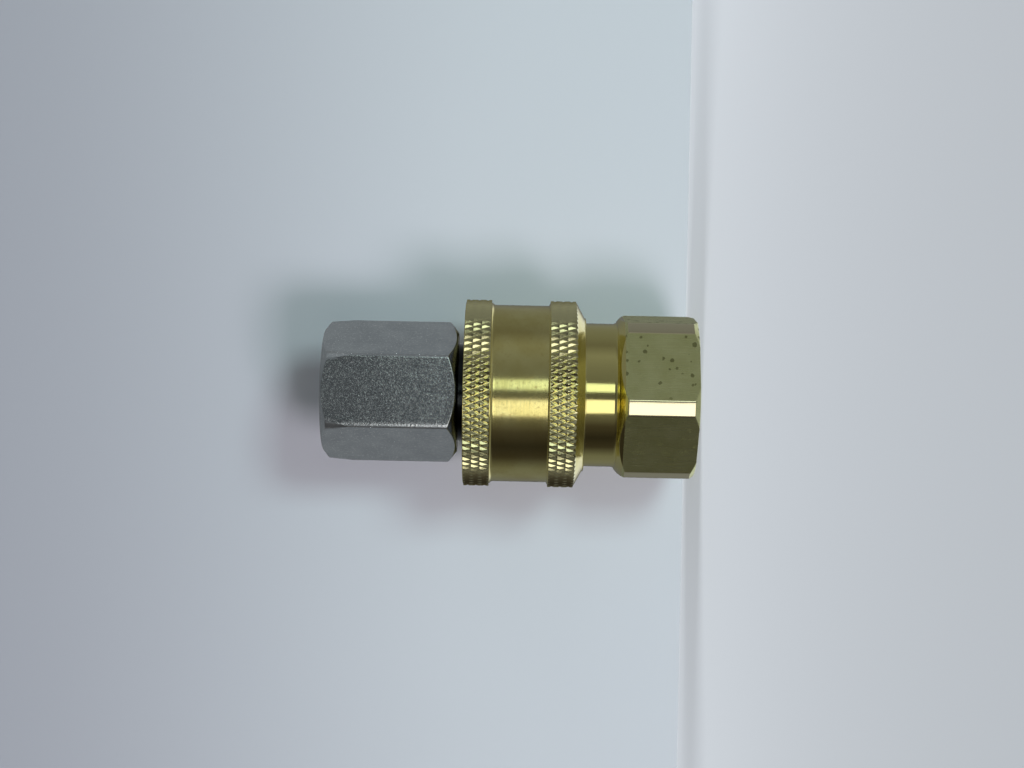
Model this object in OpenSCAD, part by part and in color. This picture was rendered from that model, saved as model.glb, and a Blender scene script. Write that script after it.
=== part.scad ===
// Quick coupling for coolant hoses: a brass socket and a plated steel plug, joined, standing on the
// socket's pipe end. The axis is +Z, z = 0 is the socket's end face, and -Y is the front.
// Balls in the socket's barrel lock into a groove round the plug's nose. Drawing the knurled sleeve
// down towards the socket's hex lets them out. The two valves hold each other open while joined.

/* [Socket hex] */
// Width of the brass hex across its flats
socket_hex_af = 24; // [23.6:0.2:27]
// Diameter that the corners of the brass hex are turned down to
socket_corner_d = 26.4; // [25.4:0.1:27]
// Length of the brass hex
socket_hex_len = 12.2; // [11.6:0.2:18]
// Turn of the brass hex about the axis, from a flat facing the front
socket_hex_turn = 22.2; // [0:0.1:59]

/* [Plug hex] */
// Width of the steel hex across its flats
plug_hex_af = 19; // [18:0.2:22]
// Length of the steel hex
plug_hex_len = 20.8; // [14:0.2:30]
// Length of the light taper that is turned on the corners at the outer end of the steel hex
plug_taper_len = 5.3; // [3:0.1:8]
// Space between the sleeve's front and the steel hex
plug_gap = 1; // [0.5:0.1:3]

/* [Ports] */
// Diameter of each pipe port inside its thread crests
port_d = 11.44; // [11.1:0.02:12]
// Depth of each pipe port
port_depth = 11; // [8:0.5:11.5]
// Width of the chamfer at the mouth of each port
port_chamfer = 0.9; // [0.5:0.1:1.1]

/* [Sleeve] */
// Diameter over the points of the knurl
sleeve_d = 29; // [28:0.1:32]
// Diameter of the plain grip between the two knurled bands
grip_d = 27.5; // [26.4:0.1:27.8]
// Number of teeth round each knurled band
knurl_teeth = 84; // [60:4:96]
// Half-diamond rows along each knurled band
knurl_rows = 3; // [2:1:4]
// Angle between the knurl's lines and the axis
knurl_angle = 22.7; // [20:0.1:30]
// Depth of the knurl's V grooves
knurl_depth = 0.3; // [0.2:0.01:0.42]
// Length of the bevel at the rear of the sleeve
bevel_len = 1.56; // [1:0.02:2.5]
// Width of the sleeve's rear edge, round the neck
lip_w = 0.35; // [0.25:0.05:0.6]

/* [Ball lock] */
// Diameter of the plug's nose
nose_d = 15; // [14.6:0.1:15.6]
// Diameter of a locking ball
ball_d = 3.5; // [3.3:0.05:3.7]
// Number of locking balls
ball_count = 8; // [6:1:8]
// Depth that a ball reaches into the groove round the plug's nose
ball_bite = 1.2; // [1:0.05:1.25]
// Travel of the sleeve
sleeve_travel = 3.8; // [3.6:0.1:5]
// Wire diameter of the sleeve's spring
sleeve_wire_d = 1; // [0.8:0.05:1.2]
// Turns of the sleeve's spring
sleeve_spring_turns = 4; // [3:0.5:6]
// Thickness of the ring that keeps the sleeve on
keeper_t = 1; // [0.8:0.1:1.4]

/* [Nose seal] */
// Length of the squeezed O-ring, along the axis
o_ring_w = 2; // [1.6:0.1:2.4]
// Depth of the O-ring's groove in the socket's bore
seal_groove_depth = 1.35; // [1:0.05:1.5]
// Thickness of the backup ring beside the O-ring
backup_t = 1.1; // [0.8:0.1:1.6]

/* [Valves] */
// Diameter of the valve chamber in the socket
socket_chamber_d = 11; // [10.2:0.1:11.1]
// Diameter of the throat in the socket
socket_throat_d = 8; // [7:0.1:8.6]
// Diameter of the valve chamber in the plug
plug_chamber_d = 10; // [9.4:0.1:10.2]
// Diameter of the throat in the plug's nose
plug_throat_d = 7.8; // [7:0.1:8]
// Length of each throat
throat_len = 1.1; // [0.8:0.1:1.6]
// Distance that each valve stands open while the coupling is joined
valve_lift = 2; // [1.6:0.1:2.2]
// Diameter of each valve's nose
valve_nose_d = 3; // [2.4:0.1:3.6]
// Diameter of each valve's tail
valve_tail_d = 2.6; // [2:0.1:3]
// Thickness of each valve's head, behind its cone
valve_head_t = 1.2; // [0.9:0.1:1.4]
// Section diameter of each valve's seal
valve_seal_d = 1; // [0.8:0.05:1.2]
// Wire diameter of each valve's spring
valve_wire_d = 0.7; // [0.5:0.05:0.8]
// Length of the plug's valve spring while joined
plug_spring_len = 6; // [5:0.2:8]
// Thickness of each valve guide
guide_t = 1.2; // [0.9:0.1:1.5]
// Thickness of the snap ring behind each guide
snap_t = 0.7; // [0.5:0.05:0.9]

/* [Hidden] */

$fn = 96;
TINY = 0.01;            // how far a cutter runs past the face that it opens
face_gap = 0.02;        // between faces that rest on each other
edge_break = 0.3;       // chamfer on a turned edge
stem_root = 1;          // how far a turned stem is drawn into its hex

// Fits and walls across the axis
nose_fit = 0.07;        // between the plug's nose and the socket's bore
ball_fit = 0.05;        // round a ball in its hole, and past the lift that frees the nose
ball_sunk = 0.1;        // from the top of a locked ball to the barrel's surface
sleeve_fit = 0.15;      // between the barrel and the sleeve's land, and round the keeper ring
spring_play = 0.35;     // between the sleeve's spring and the sleeve
skirt_fit = 0.1;        // between the neck and the sleeve's skirt
recess_play = 0.35;     // over a ball that is let out
keeper_sunk = 0.7;      // depth of the keeper ring's groove
seal_fit = 0.03;        // between the nose and its seals

// Fits and walls along the axis
neck_spare = 1.1;       // neck that shows while the sleeve is drawn back
spring_spare = 0.4;     // between the sleeve spring's turns, all together, while the sleeve is drawn back
skirt_overlap = 2.7;    // neck that the sleeve's skirt covers
land_below_ball = 1.25; // from the land's lower edge to a ball
land_above_ball = 0.3;  // from a ball's middle to the ramp
barrel_wall = 0.7;      // on either side of the keeper ring's groove
keeper_play = 0.1;      // beside the keeper ring in its groove
sleeve_proud = 0.4;     // sleeve that stands past the barrel
seal_play = 0.3;        // beside the nose seals in their groove
seal_below_ball = 1.5;  // wall between the ball holes and the seals' groove
bore_below_seal = 1.7;  // bore between the seals' groove and its floor
nose_play = 0.3;        // between the plug's nose and the floor of the bore
snap_past_port = 0.5;   // from the port's floor to the snap ring's groove

// Ball lock, across the axis. Each radius is built up from the plug's nose.
nose_r = nose_d / 2;
bore_r = nose_r + nose_fit;
ball_r = ball_d / 2;
ball_hole_r = ball_r + ball_fit;
ball_lock_r = nose_r + ball_r - ball_bite;
ball_lift = ball_bite + ball_fit;
ball_out_r = ball_lock_r + ball_lift + ball_r;
barrel_r = ball_lock_r + ball_r + ball_sunk;
land_r = barrel_r + sleeve_fit;
skirt_r = barrel_r + sleeve_wire_d + spring_play;
neck_r = skirt_r - skirt_fit;
recess_r = ball_out_r + recess_play;
keeper_r = recess_r - sleeve_fit;
keeper_groove_r = barrel_r - keeper_sunk;
lip_r = skirt_r + lip_w;

// Ball lock, along the axis. Each height is built up from the socket's hex.
neck_show = sleeve_travel + neck_spare;
sleeve_spring_len = sleeve_travel + sleeve_spring_turns * sleeve_wire_d + spring_spare;
z_sleeve = socket_hex_len + neck_show;
z_step = z_sleeve + skirt_overlap;
z_land = z_step + sleeve_spring_len;
z_ball = z_land + ball_r + land_below_ball;
z_ramp = z_ball + land_above_ball;
ramp_angle = 22;
z_shoulder = z_ball + ball_hole_r + barrel_wall;
ramp_end_r = land_r + (z_shoulder - z_ramp) * tan(ramp_angle);
keeper_groove_w = keeper_t + keeper_play;
z_barrel = z_shoulder + keeper_groove_w + barrel_wall;
z_front = z_barrel + sleeve_proud;
z_plug_hex = z_front + plug_gap;
z_top = z_plug_hex + plug_hex_len;

// Nose seal, below the balls
seal_groove_r = bore_r + seal_groove_depth;
seal_groove_w = o_ring_w + backup_t + seal_play;
z_seal_top = z_ball - ball_hole_r - seal_below_ball;
z_seal = z_seal_top - seal_groove_w;
z_bore = z_seal - bore_below_seal;
z_nose = z_bore + nose_play;
z_meet = (z_bore + z_nose) / 2;

// Knurl
knurl_r = sleeve_d / 2;
knurl_root_r = knurl_r - knurl_depth;
band_rim = 0.12;        // plain edge of a band, below the knurl's grooves and beside them
band_wall = 0.6;        // depth that a band's ring is drawn into the sleeve's core
core_r = knurl_root_r - band_rim;
row_h = PI * sleeve_d / knurl_teeth / tan(knurl_angle) / 2;
band_len = knurl_rows * row_h;
z_rear_band = z_sleeve + bevel_len;
z_front_band = z_front - band_rim - band_len;
bevel_slope = bevel_len / (knurl_r - lip_r);
grip_r = grip_d / 2;

// Valves. Both seats are 45 degree cones, and the heads' cones match them.
closed_gap = 0.15;      // what the seal keeps between a closed head and its seat
head_gap = 0.7;         // round a head in its chamber
tip_gap = 0.05;         // between the two valves' noses
snap_play = 0.05;       // on each side of a snap ring
snap_depth = 0.55;      // depth of a snap ring's groove
snap_w = 0.9;           // width of a snap ring inside its chamber
tail_fit = 0.08;        // round a tail in its guide
tail_over = 0.9;        // tail that stands past its guide
guide_fit = 0.05;       // round a guide in its chamber
socket_coil_out = 1.6;  // from the socket valve's tail to the middle of its spring's wire
socket_coil_turns = 3.5;
plug_coil_out = 1.4;    // from the plug valve's tail to the middle of its spring's wire
plug_coil_turns = 5;
socket_chamber_r = socket_chamber_d / 2;
socket_throat_r = socket_throat_d / 2;
plug_chamber_r = plug_chamber_d / 2;
plug_throat_r = plug_throat_d / 2;
socket_head_r = socket_chamber_r - head_gap;
plug_head_r = plug_chamber_r - head_gap;
z_socket_snap = port_depth + snap_past_port;
z_socket_guide = z_socket_snap + snap_t + 2 * snap_play;
z_socket_seat = z_bore - throat_len;
z_socket_head = z_socket_seat + socket_throat_r - closed_gap - valve_lift - socket_head_r;
z_socket_back = z_socket_head - valve_head_t;
z_plug_seat = z_nose + throat_len;
z_plug_head = z_plug_seat - plug_throat_r + closed_gap + valve_lift + plug_head_r;
z_plug_back = z_plug_head + valve_head_t;
z_plug_guide = z_plug_back + plug_spring_len;
z_plug_snap = z_plug_guide + guide_t;

// A hex bar of width af across its flats, with a flat facing the front.
module hex_bar(af, len) {
    cylinder(r = af / 2 / cos(30), h = len, $fn = 6);
}

// Everything inside an outline of [radius, height] points, turned about the axis.
module turned(outline) {
    rotate_extrude() polygon(outline);
}

// A closed wire ring of round section.
module round_ring(r, section_r, z) {
    rotate_extrude() translate([r, z]) circle(r = section_r, $fn = 48);
}

// A flat ring between two radii, from z up.
module flat_ring(outer_r, inner_r, z, t) {
    turned([[inner_r, z], [outer_r, z], [outer_r, z + t], [inner_r, z + t]]);
}

// A wedge that opens a ring, so that it can be sprung into its groove.
module ring_mouth(r, angle, z, t) {
    translate([0, 0, z])
        linear_extrude(t)
            polygon([[0, 0], for (side = [-1, 1]) [r * cos(angle / 2), side * r * sin(angle / 2)]]);
}

// A compression spring of round wire, from z up, with its end turns closed.
module spring(mean_r, wire_d, z, len, turns) {
    per_turn = 24;
    sides = 8;
    steps = round(turns * per_turn);
    end_turns = 0.8;
    end_rise = end_turns * wire_d;
    rise = len - wire_d - 2 * end_rise;
    function height(t) =
        t < end_turns ? t * wire_d
        : t > turns - end_turns ? len - wire_d - (turns - t) * wire_d
        : end_rise + (t - end_turns) / (turns - 2 * end_turns) * rise;
    points = [for (s = [0 : steps]) for (k = [0 : sides - 1])
        let (a = 360 * s / per_turn, b = 360 * k / sides, r = mean_r + wire_d / 2 * cos(b))
        [r * cos(a), r * sin(a), z + wire_d / 2 + height(s / per_turn) + wire_d / 2 * sin(b)]];
    walls = [for (s = [0 : steps - 1]) for (k = [0 : sides - 1])
        let (n = (k + 1) % sides)
        [s * sides + k, s * sides + n, (s + 1) * sides + n, (s + 1) * sides + k]];
    first_end = [[for (k = [sides - 1 : -1 : 0]) k]];
    last_end = [[for (k = [0 : sides - 1]) steps * sides + k]];
    polyhedron(points, concat(walls, first_end, last_end), convexity = 10);
}

// One knurled band, from z up, as a ring that the sleeve's core carries. In each row high and low
// points take turns, and the next row is half a tooth on, so the low points line up as two crossing
// sets of V grooves. The low points of the first row follow the bevel.
module knurl_band(z, slope = 0) {
    n = 2 * knurl_teeth;
    inner_r = core_r - band_wall;
    function row_points(row) = [for (i = [0 : n - 1])
        let (r = (row + i) % 2 == 0 ? knurl_r : knurl_root_r, drop = row == 0 ? (knurl_r - r) * slope : 0)
        [r * cos(180 * i / knurl_teeth), r * sin(180 * i / knurl_teeth), z + row * row_h - drop]];
    function inner_points(height) = [for (i = [0 : knurl_teeth - 1])
        [inner_r * cos(360 * i / knurl_teeth), inner_r * sin(360 * i / knurl_teeth), height]];
    outer = [for (row = [0 : knurl_rows]) each row_points(row)];
    low = len(outer);
    high = low + knurl_teeth;
    last = knurl_rows * n;
    flanks = [for (row = [0 : knurl_rows - 1]) for (i = [0 : n - 1])
        let (a = row * n + i, b = row * n + (i + 1) % n, c = b + n, d = a + n)
        each ((row + i) % 2 == 0 ? [[a, d, b], [b, d, c]] : [[a, c, b], [a, d, c]])];
    ends = [for (i = [0 : knurl_teeth - 1])
        let (j = (i + 1) % knurl_teeth, a = 2 * i, b = a + 1, c = 2 * j)
        each [[a, b, low + i], [b, c, low + j], [b, low + j, low + i],
            [last + a, high + i, last + b], [last + b, high + j, last + c], [last + b, high + i, high + j]]];
    inside = [for (i = [0 : knurl_teeth - 1])
        let (j = (i + 1) % knurl_teeth)
        each [[low + i, low + j, high + j], [low + i, high + j, high + i]]];
    polyhedron(concat(outer, inner_points(z), inner_points(z + band_len)), concat(flanks, ends, inside),
        convexity = 10);
}

// A spider that carries a valve's tail: a rim in the chamber, a hub and three spokes.
module valve_guide(chamber_r, z) {
    rim_w = 0.8;
    hub_w = 1.1;
    spoke_w = 1.1;
    tail_r = valve_tail_d / 2 + tail_fit;
    rim_r = chamber_r - guide_fit;
    translate([0, 0, z])
        difference() {
            cylinder(r = rim_r, h = guide_t);
            translate([0, 0, -TINY])
                cylinder(r = tail_r, h = guide_t + 2 * TINY);
            translate([0, 0, -TINY])
                linear_extrude(guide_t + 2 * TINY)
                    difference() {
                        circle(r = rim_r - rim_w);
                        circle(r = tail_r + hub_w);
                        for (a = [90 : 120 : 330])
                            rotate(a) translate([0, -spoke_w / 2]) square([rim_r, spoke_w]);
                    }
        }
}

// The split ring that holds a guide in its chamber, sprung into a groove.
module snap_ring(chamber_r, z) {
    mouth_angle = 50;
    difference() {
        flat_ring(chamber_r + snap_depth - face_gap, chamber_r - snap_w, z, snap_t);
        ring_mouth(2 * chamber_r, mouth_angle, z - TINY, snap_t + 2 * TINY);
    }
}

// Bore of either half from its throat to its port, as [radius, height] points in the order given:
// throat, seat, chamber, snap ring's groove, chamber, port and mouth. way is 1 up and -1 down.
function bore_outline(throat_r, chamber_r, z_end, z_seat, z_groove, z_mouth, way) =
    let (groove_w = snap_t + 2 * snap_play, port_r = port_d / 2)
    [[0, z_end - way * TINY], [throat_r, z_end - way * TINY], [throat_r, z_seat],
    [chamber_r, z_seat + way * (chamber_r - throat_r)],
    [chamber_r, z_groove - way * groove_w / 2], [chamber_r + snap_depth, z_groove - way * groove_w / 2],
    [chamber_r + snap_depth, z_groove + way * groove_w / 2], [chamber_r, z_groove + way * groove_w / 2],
    [chamber_r, z_mouth - way * port_depth], [port_r, z_mouth - way * port_depth],
    [port_r, z_mouth - way * port_chamfer], [port_r + port_chamfer, z_mouth],
    [port_r + port_chamfer, z_mouth + way * TINY], [0, z_mouth + way * TINY]];

// One ball hole, along +X. It narrows towards the bore, so that its ball can't fall in.
module ball_hole() {
    lip_depth = ball_lock_r - bore_r;
    lip_hole_r = sqrt(ball_r * ball_r - lip_depth * lip_depth) + face_gap;
    past = 0.5;
    narrowing = (ball_hole_r - lip_hole_r) / lip_depth;
    translate([0, 0, z_ball])
        rotate([0, 90, 0])
            rotate_extrude()
                polygon([[0, bore_r - past], [lip_hole_r - past * narrowing, bore_r - past],
                    [ball_hole_r, ball_lock_r], [ball_hole_r, barrel_r + past], [0, barrel_r + past]]);
}

module socket_body() {
    corner_r = socket_corner_d / 2;
    end_r = socket_hex_af / 2 - 0.4;
    outer_chamfer = 0.8;
    inner_chamfer = (corner_r - end_r) * tan(40);
    fillet_r = 0.5;
    bore_lead = 0.8;
    color("#a8954f")
        difference() {
            union() {
                intersection() {
                    rotate([0, 0, socket_hex_turn]) hex_bar(socket_hex_af, socket_hex_len);
                    turned([[0, 0], [corner_r - outer_chamfer, 0], [corner_r, outer_chamfer],
                        [corner_r, socket_hex_len - inner_chamfer], [end_r, socket_hex_len],
                        [0, socket_hex_len]]);
                }
                rotate_extrude()
                    difference() {
                        translate([0, socket_hex_len - stem_root])
                            square([neck_r + fillet_r, stem_root + fillet_r]);
                        translate([neck_r + fillet_r, socket_hex_len + fillet_r]) circle(r = fillet_r);
                    }
                turned([[0, socket_hex_len - stem_root], [neck_r, socket_hex_len - stem_root],
                    [neck_r, z_step - edge_break], [neck_r - edge_break, z_step], [barrel_r, z_step],
                    [barrel_r, z_barrel - edge_break], [barrel_r - edge_break, z_barrel], [0, z_barrel]]);
            }
            turned(bore_outline(socket_throat_r, socket_chamber_r, z_bore, z_socket_seat,
                z_socket_snap + snap_t / 2 + snap_play, 0, -1));
            turned([[0, z_bore], [bore_r, z_bore], [bore_r, z_seal], [seal_groove_r, z_seal],
                [seal_groove_r, z_seal_top], [bore_r, z_seal_top], [bore_r, z_barrel - bore_lead],
                [bore_r + bore_lead, z_barrel], [bore_r + bore_lead, z_barrel + TINY], [0, z_barrel + TINY]]);
            flat_ring(barrel_r + stem_root, keeper_groove_r, z_shoulder, keeper_groove_w);
            for (i = [1 : ball_count]) rotate([0, 0, i * 360 / ball_count]) ball_hole();
        }
}

module sleeve() {
    grip_fillet = 0.7;
    color("#c9a83c")
        union() {
            turned([[skirt_r, z_sleeve], [lip_r, z_sleeve],
                [core_r, z_sleeve + (core_r - lip_r) * bevel_slope],
                [core_r, z_rear_band + band_len + band_rim],
                [grip_r, z_rear_band + band_len + 2 * band_rim],
                [grip_r, z_front_band - grip_fillet], [core_r, z_front_band - band_rim],
                [core_r, z_front], [recess_r, z_front], [recess_r, z_shoulder - face_gap],
                [ramp_end_r, z_shoulder - face_gap], [land_r, z_ramp], [land_r, z_land], [skirt_r, z_land]]);
            knurl_band(z_rear_band, bevel_slope);
            knurl_band(z_front_band);
        }
}

module sleeve_spring() {
    color("#9a9a98")
        spring((barrel_r + skirt_r) / 2, sleeve_wire_d, z_step + face_gap,
            sleeve_spring_len - 2 * face_gap, sleeve_spring_turns);
}

module sleeve_keeper_ring() {
    mouth_angle = 14;
    color("#8d8f92")
        difference() {
            flat_ring(keeper_r, keeper_groove_r + face_gap, z_shoulder + face_gap, keeper_t);
            ring_mouth(2 * keeper_r, mouth_angle, z_shoulder, keeper_t + 2 * face_gap);
        }
}

module nose_o_ring() {
    z = z_seal + seal_play / 3;
    rounding = 0.45;
    inner_r = nose_r + seal_fit;
    outer_r = seal_groove_r - face_gap;
    color("#1d1d1f")
        rotate_extrude()
            union() {
                translate([inner_r, z + rounding]) square([outer_r - inner_r, o_ring_w - 2 * rounding]);
                translate([inner_r + rounding, z]) square([outer_r - inner_r - 2 * rounding, o_ring_w]);
                for (r = [inner_r + rounding, outer_r - rounding])
                    for (h = [z + rounding, z + o_ring_w - rounding])
                        translate([r, h]) circle(r = rounding, $fn = 48);
            }
}

module nose_backup_ring() {
    color("#e6e3da")
        flat_ring(seal_groove_r - face_gap, nose_r + seal_fit, z_seal_top - seal_play / 3 - backup_t,
            backup_t);
}

// A ball is drawn at its locked place, numbered round the axis from the front half-left.
module locking_ball(i) {
    color("#b9bcc0")
        rotate([0, 0, i * 360 / ball_count]) translate([ball_lock_r, 0, z_ball]) sphere(r = ball_r);
}

// A valve with its cone towards +Z and the edge of its head at z = 0. reach is how far its nose
// stands past that edge, and tail is the length behind the head.
module valve(head_r, reach, tail) {
    nose_r = valve_nose_d / 2;
    tail_r = valve_tail_d / 2;
    seat = valve_seal_place(head_r);
    difference() {
        turned([[0, -valve_head_t - tail], [tail_r - edge_break, -valve_head_t - tail],
            [tail_r, -valve_head_t - tail + edge_break], [tail_r, -valve_head_t], [head_r, -valve_head_t],
            [head_r, 0], [nose_r, head_r - nose_r], [nose_r, reach - edge_break],
            [nose_r - edge_break, reach], [0, reach]]);
        round_ring(seat[0], valve_seal_d / 2 + face_gap, seat[1]);
    }
}

// Centre of a valve's seal, [radius, height above the head's edge]: it stands a little proud of the cone.
function valve_seal_place(head_r) =
    let (inset = 0.9, sunk = valve_seal_d * 0.3 / cos(45))
    [head_r - inset, inset - sunk];

module valve_seal(head_r) {
    seat = valve_seal_place(head_r);
    round_ring(seat[0], valve_seal_d / 2, seat[1]);
}

module socket_valve() {
    tail = z_socket_back - z_socket_guide + tail_over;
    color("#b89b45")
        translate([0, 0, z_socket_head]) valve(socket_head_r, z_meet - tip_gap / 2 - z_socket_head, tail);
}

module socket_valve_seal() {
    color("#1d1d1f") translate([0, 0, z_socket_head]) valve_seal(socket_head_r);
}

module socket_valve_spring() {
    z = z_socket_guide + guide_t + face_gap;
    color("#9a9a98")
        spring(valve_tail_d / 2 + socket_coil_out, valve_wire_d, z, z_socket_back - face_gap - z,
            socket_coil_turns);
}

module socket_valve_guide() {
    color("#b89b45") valve_guide(socket_chamber_r, z_socket_guide);
}

module socket_snap_ring() {
    color("#8d8f92") snap_ring(socket_chamber_r, z_socket_snap + snap_play);
}

module plug_body() {
    corner_r = plug_hex_af / 2 / cos(30);
    end_r = plug_hex_af / 2 - 0.15;
    end_slope = 0.75;
    inner_end_r = plug_hex_af / 2 - 0.25;
    inner_slope = tan(39);
    cut_r = corner_r + 1;
    taper_r = corner_r - 0.38;
    nose_lead = [0.5, 0.9];
    color("#9fa3a6")
        difference() {
            union() {
                intersection() {
                    translate([0, 0, z_plug_hex]) hex_bar(plug_hex_af, plug_hex_len);
                    turned([[0, z_plug_hex], [inner_end_r, z_plug_hex],
                        [cut_r, z_plug_hex + (cut_r - inner_end_r) * inner_slope],
                        [cut_r, z_top - plug_taper_len], [corner_r, z_top - plug_taper_len],
                        [taper_r, z_top - (taper_r - end_r) * end_slope], [end_r, z_top], [0, z_top]]);
                }
                turned([[0, z_nose], [nose_r - nose_lead[0], z_nose], [nose_r, z_nose + nose_lead[1]],
                    [nose_r, z_plug_hex + stem_root], [0, z_plug_hex + stem_root]]);
            }
            turned(bore_outline(plug_throat_r, plug_chamber_r, z_nose, z_plug_seat,
                z_plug_snap + snap_t / 2 + snap_play, z_top, 1));
            round_ring(ball_lock_r, ball_r + 2 * ball_fit, z_ball);
        }
}

module plug_valve() {
    tail = z_plug_snap - z_plug_back + tail_over;
    color("#b89b45")
        translate([0, 0, z_plug_head])
            mirror([0, 0, 1]) valve(plug_head_r, z_plug_head - z_meet - tip_gap / 2, tail);
}

module plug_valve_seal() {
    color("#1d1d1f") translate([0, 0, z_plug_head]) mirror([0, 0, 1]) valve_seal(plug_head_r);
}

module plug_valve_spring() {
    color("#9a9a98")
        spring(valve_tail_d / 2 + plug_coil_out, valve_wire_d, z_plug_back + face_gap,
            plug_spring_len - 2 * face_gap, plug_coil_turns);
}

module plug_valve_guide() {
    color("#b89b45") valve_guide(plug_chamber_r, z_plug_guide);
}

module plug_snap_ring() {
    color("#8d8f92") snap_ring(plug_chamber_r, z_plug_snap + snap_play);
}

socket_body();
sleeve();
sleeve_spring();
sleeve_keeper_ring();
nose_o_ring();
nose_backup_ring();
socket_valve();
socket_valve_seal();
socket_valve_spring();
socket_valve_guide();
socket_snap_ring();
plug_body();
plug_valve();
plug_valve_seal();
plug_valve_spring();
plug_valve_guide();
plug_snap_ring();
for (i = [1 : ball_count]) locking_ball(i);
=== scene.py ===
# Quick coupling for coolant hoses, socket and plug joined, standing on the brass socket's pipe end.
# The axis is +Z. The socket's brass hex is at the floor, its knurled sleeve slides on the barrel above
# it, and the plated steel plug is at the top.
import math

import bmesh
import bpy
from mathutils import Matrix, Vector


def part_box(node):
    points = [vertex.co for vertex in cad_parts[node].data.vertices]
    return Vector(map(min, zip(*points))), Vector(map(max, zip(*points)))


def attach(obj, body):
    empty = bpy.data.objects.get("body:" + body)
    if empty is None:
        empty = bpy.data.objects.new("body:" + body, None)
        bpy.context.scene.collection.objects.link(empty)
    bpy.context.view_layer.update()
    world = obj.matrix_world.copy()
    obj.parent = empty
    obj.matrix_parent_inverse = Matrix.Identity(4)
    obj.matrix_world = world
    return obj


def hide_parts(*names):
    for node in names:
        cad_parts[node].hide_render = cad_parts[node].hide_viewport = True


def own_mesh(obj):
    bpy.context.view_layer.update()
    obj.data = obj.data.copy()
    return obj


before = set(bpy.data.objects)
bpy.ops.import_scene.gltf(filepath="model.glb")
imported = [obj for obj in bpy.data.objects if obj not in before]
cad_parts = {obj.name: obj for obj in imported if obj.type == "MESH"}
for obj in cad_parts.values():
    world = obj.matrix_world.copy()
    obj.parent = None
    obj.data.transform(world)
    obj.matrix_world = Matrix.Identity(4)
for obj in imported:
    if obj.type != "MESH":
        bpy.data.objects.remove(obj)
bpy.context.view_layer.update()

# ---------------------------------------------------------------------------------------------------
# The view. The coupling is seen square on from the front, from about 300 mm, with the camera turned so
# that the steel plug is at the left and the brass socket at the right, a little lower.
MM = 0.001
VIEW_DISTANCE = 300 * MM
VIEW_HEIGHT = 28.34 * MM
VIEW_ABOVE_AXIS = 1.45 * MM
VIEW_ROLL = math.radians(1.17)
LENS_LENGTH = 67.53515625
SENSOR_WIDTH = 36
CLIP_NEAR = 10 * MM
CLIP_FAR = 10

camera_data = bpy.data.cameras.new("camera")
camera_data.sensor_width = SENSOR_WIDTH
camera_data.lens = LENS_LENGTH
camera_data.clip_start = CLIP_NEAR
camera_data.clip_end = CLIP_FAR
camera = bpy.data.objects.new("camera", camera_data)
bpy.context.scene.collection.objects.link(camera)
view_up = Vector((math.cos(VIEW_ROLL), 0, math.sin(VIEW_ROLL)))
view_back = Vector((0, -1, 0))
view_right = view_up.cross(view_back)
camera.matrix_world = Matrix.Translation((VIEW_ABOVE_AXIS, -VIEW_DISTANCE, VIEW_HEIGHT)) @ Matrix(
    (view_right, view_up, view_back)).transposed().to_4x4()
bpy.context.scene.camera = camera
bpy.context.scene.view_settings.view_transform = "Standard"


# ---------------------------------------------------------------------------------------------------
# The stage. A pale floor carries the coupling and a pale card stands just behind it, both seen only by
# the camera. Two soft lamps in front cast the shadows on the card, and one at each side lights the flanks.
# The metals mirror a room that is painted into the sky by direction.
def linear(colour):
    """The linear value of an sRGB hex colour, with full alpha."""
    parts = [int(colour[i:i + 2], 16) / 255 for i in (1, 3, 5)]
    return (*[c / 12.92 if c <= 0.04045 else ((c + 0.055) / 1.055) ** 2.4 for c in parts], 1)


def add(tree, kind, links=None, **settings):
    """A new node with its properties and inputs set. An input given as a socket is linked."""
    node = tree.nodes.new(kind)
    for name, value in settings.items():
        setattr(node, name, value)
    for key, value in (links or {}).items():
        if isinstance(value, bpy.types.NodeSocket):
            tree.links.new(value, node.inputs[key])
        else:
            node.inputs[key].default_value = value
    return node


def maths(tree, operation, *values):
    """The result of a Math node on two or three values or sockets."""
    return add(tree, "ShaderNodeMath", dict(enumerate(values)), operation=operation).outputs[0]


def smooth_step(tree, value, low, high, start=0.0, end=1.0):
    """value eased from start at low to end at high."""
    return add(tree, "ShaderNodeMapRange", {"Value": value, "From Min": low, "From Max": high,
               "To Min": start, "To Max": end}, interpolation_type="SMOOTHSTEP").outputs[0]


def ramp(tree, value, stops):
    """A colour ramp whose stops are (place, linear colour)."""
    node = add(tree, "ShaderNodeValToRGB", {"Fac": value})
    while len(node.color_ramp.elements) < len(stops):
        node.color_ramp.elements.new(1)
    for element, (place, colour) in zip(node.color_ramp.elements, stops):
        element.position = place
        element.color = colour
    return node.outputs["Color"]


def mix(tree, factor, a, b):
    """Colour a mixed with colour b."""
    node = add(tree, "ShaderNodeMix", {"Factor": factor, "A": a, "B": b}, data_type="RGBA")
    return node.outputs["Result"]


def between_values(tree, factor, a, b):
    """Value a mixed with value b."""
    return add(tree, "ShaderNodeMix", {"Factor": factor, "A": a, "B": b}).outputs[0]


def place_on(tree):
    """The place on the piece, parted into X, Y and Z."""
    place = add(tree, "ShaderNodeTexCoord").outputs["Object"]
    return add(tree, "ShaderNodeSeparateXYZ", {"Vector": place}).outputs


def from_axis(tree, place):
    """The distance of a place from the axis."""
    squares = [maths(tree, "MULTIPLY", place[side], place[side]) for side in ("X", "Y")]
    return maths(tree, "SQRT", maths(tree, "ADD", *squares))


def new_tree(name):
    """An empty node tree of a new material, and the material."""
    material = bpy.data.materials.new(name)
    material.use_nodes = True
    material.node_tree.nodes.clear()
    return material, material.node_tree


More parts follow.
